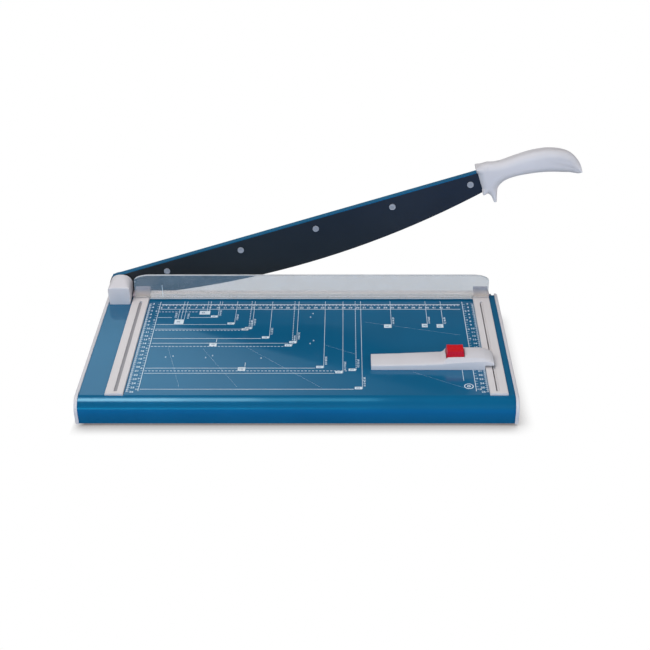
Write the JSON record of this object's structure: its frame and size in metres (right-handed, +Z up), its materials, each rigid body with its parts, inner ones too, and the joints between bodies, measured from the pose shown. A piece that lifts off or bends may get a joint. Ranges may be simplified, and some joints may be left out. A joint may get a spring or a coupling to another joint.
{
  "type": "guillotine paper cutter",
  "caption": "Desk guillotine paper cutter: blue table with stop rails, curved blade on a swinging arm, clear press guard and sliding back stop.",
  "frame": {"origin": "on the resting plane, at the centre of the whole part's box with the arm at its rest angle; the cutting line is at Y +132.7 mm and the left stop at X -274.1 mm", "axes": "+X to the right along the cutting line, +Y away from the user, +Z up"},
  "size_m": [0.6756, 0.3026, 0.2632],
  "materials": {
    "table_blue": "satin blue powder coat",
    "grey_plastic": "fine-grained light grey moulding",
    "rail_grey": "pale matt coated extrusion",
    "bare_aluminium": "mill finish",
    "ground_steel": "ground",
    "fastener_steel": "zinc plated",
    "blade_black": "dark coated blade steel with a ground edge",
    "bronze": "plain bearing bronze",
    "spring_steel": "drawn wire",
    "rubber": "matt",
    "clear_guard": "clear, slightly smoked",
    "button_red": "smooth red moulding",
    "shoe_plastic": "dark sliding plastic"
  },
  "bodies": {
    "base": {"table_top": "table_blue", "left_cheek": "grey_plastic", "right_cheek": "grey_plastic", "cheek_screws": "fastener_steel", "rear_beam": "bare_aluminium", "front_beam": "bare_aluminium", "left_cross_member": "bare_aluminium", "right_cross_member": "bare_aluminium", "frame_screws": "fastener_steel", "foot_front_left": "rubber", "foot_front_right": "rubber", "foot_rear_left": "rubber", "foot_rear_right": "rubber", "foot_screws": "fastener_steel", "counter_blade": "ground_steel", "counter_blade_screws": "fastener_steel", "left_rail": "rail_grey", "right_rail": "rail_grey", "rail_screws": "fastener_steel", "pivot_bracket": "ground_steel", "bracket_screws": "fastener_steel", "pivot_bolt": "fastener_steel", "friction_washer": "bronze", "disc_springs": "spring_steel", "nut_washer": "fastener_steel", "pivot_nut": "fastener_steel", "pivot_cover": "grey_plastic", "cover_screws": "fastener_steel", "left_guide_post": "fastener_steel", "right_guide_post": "fastener_steel", "left_press_spring": "spring_steel", "right_press_spring": "spring_steel"},
    "arm": {"arm_bar": "table_blue", "pivot_bush": "bronze", "upper_blade": "blade_black", "blade_screws": "fastener_steel", "handle_front_shell": "grey_plastic", "handle_rear_shell": "grey_plastic", "handle_screws": "fastener_steel"},
    "press": {"press_bar": "rail_grey", "press_strip": "rubber", "guard_shield": "clear_guard", "left_guide_block": "grey_plastic", "right_guide_block": "grey_plastic", "block_screws": "fastener_steel"},
    "backstop": {"backstop_body": "grey_plastic", "slide_shoe": "shoe_plastic", "shoe_screws": "fastener_steel", "slide_studs": "fastener_steel", "lever_pin": "fastener_steel", "button_spring": "spring_steel"},
    "release_lever": {"clamp_lever": "ground_steel", "red_button": "button_red", "brake_pad": "rubber"}
  },
  "joints": [
    {"name": "arm_swing", "type": "hinge", "parent": "base", "child": "arm", "pos_m": [-0.31906, 0.13273, 0.054], "axis": [0, -1, 0], "range_deg": [-16.55, 37.5]},
    {"name": "press_bar_slide", "type": "slide", "parent": "base", "child": "press", "axis": [0, 0, 1], "range_m": [-0.00195, 0], "stiffness_N_per_m": 900, "springref_m": 0.006, "deforming": ["left_press_spring", "right_press_spring"]},
    {"name": "backstop_slide", "type": "slide", "parent": "base", "child": "backstop", "axis": [0, 1, 0], "range_m": [-0.055, 0.145]},
    {"name": "release_button", "type": "hinge", "parent": "backstop", "child": "release_lever", "pos_m": [0.18094, -0.06053, 0.0485], "axis": [0, -1, 0], "range_deg": [0, 6], "stiffness_Nm_per_rad": 0.6, "deforming": ["button_spring"]}
  ]
}
